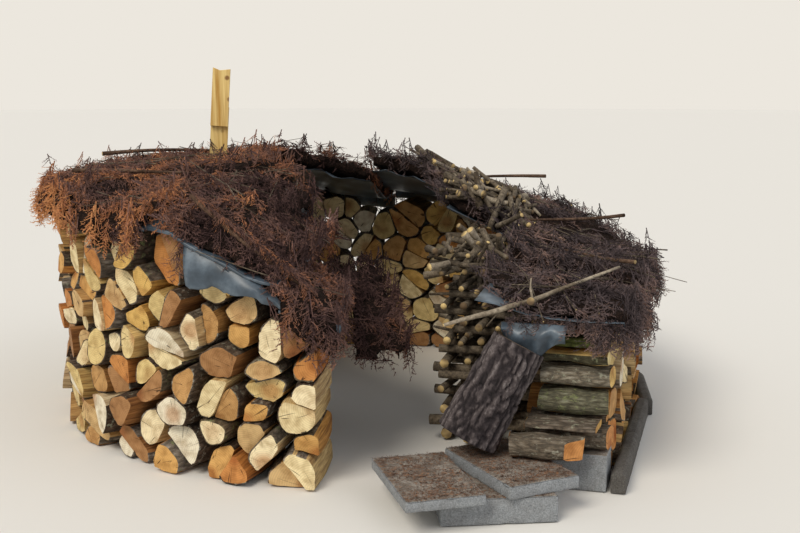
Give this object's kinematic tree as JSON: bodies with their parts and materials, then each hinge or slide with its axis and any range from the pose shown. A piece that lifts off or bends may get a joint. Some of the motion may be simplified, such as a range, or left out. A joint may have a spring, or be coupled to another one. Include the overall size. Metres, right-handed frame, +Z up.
{
  "type": "round firewood store",
  "caption": "Round firewood store: radial split-log wall open at the front, brush and pond-liner roof, branch wood pile, concrete slabs and kerbs, hollow for a tree",
  "frame": {"origin": "middle of the round hollow left for the tree, at ground level", "axes": "+Z up, -Y towards the open front, +X to the right seen from the front"},
  "size_m": [3.0912, 3.4865, 1.6619],
  "materials": {
    "split_log": "split and sawn firewood with grey bark",
    "dark_bark": "deeply fissured dark bark",
    "branch_bark": "dry thin branches with bark",
    "conifer_brush": "dead brown conifer twigs",
    "pond_liner": "weathered black sheet",
    "concrete": "weathered cast concrete",
    "sawn_board": "sawn softwood"
  },
  "bodies": {
    "root": {"bough_stems": "branch_bark", "branches_across": "branch_bark", "branches_lengthwise": "branch_bark", "brush_back": "conifer_brush", "brush_back_right": "conifer_brush", "brush_front_end": "conifer_brush", "brush_front_heap": "conifer_brush", "brush_left": "conifer_brush", "brush_left_back": "conifer_brush", "brush_left_front": "conifer_brush", "brush_right": "conifer_brush", "brush_right_front": "conifer_brush", "foundation_block": "concrete", "kerbs_back": "concrete", "kerbs_left_back": "concrete", "kerbs_right": "concrete", "kerbs_right_front": "concrete", "leaning_butt": "dark_bark", "liner_back": "pond_liner", "liner_back_right": "pond_liner", "liner_front_end": "pond_liner", "liner_left": "pond_liner", "liner_left_back": "pond_liner", "liner_left_front": "pond_liner", "liner_right": "pond_liner", "liner_right_front": "pond_liner", "logs_back": "split_log", "logs_back_left": "split_log", "logs_back_right": "split_log", "logs_front_end": "split_log", "logs_left": "split_log", "logs_left_back": "split_log", "logs_left_front": "split_log", "logs_right": "split_log", "logs_right_back": "split_log", "logs_right_front": "split_log", "long_branch": "branch_bark", "pier_block": "concrete", "pier_logs": "split_log", "slab_left": "concrete", "slab_right": "concrete", "upright_board_lower": "sawn_board", "upright_board_upper": "sawn_board"}
  },
  "joints": []
}
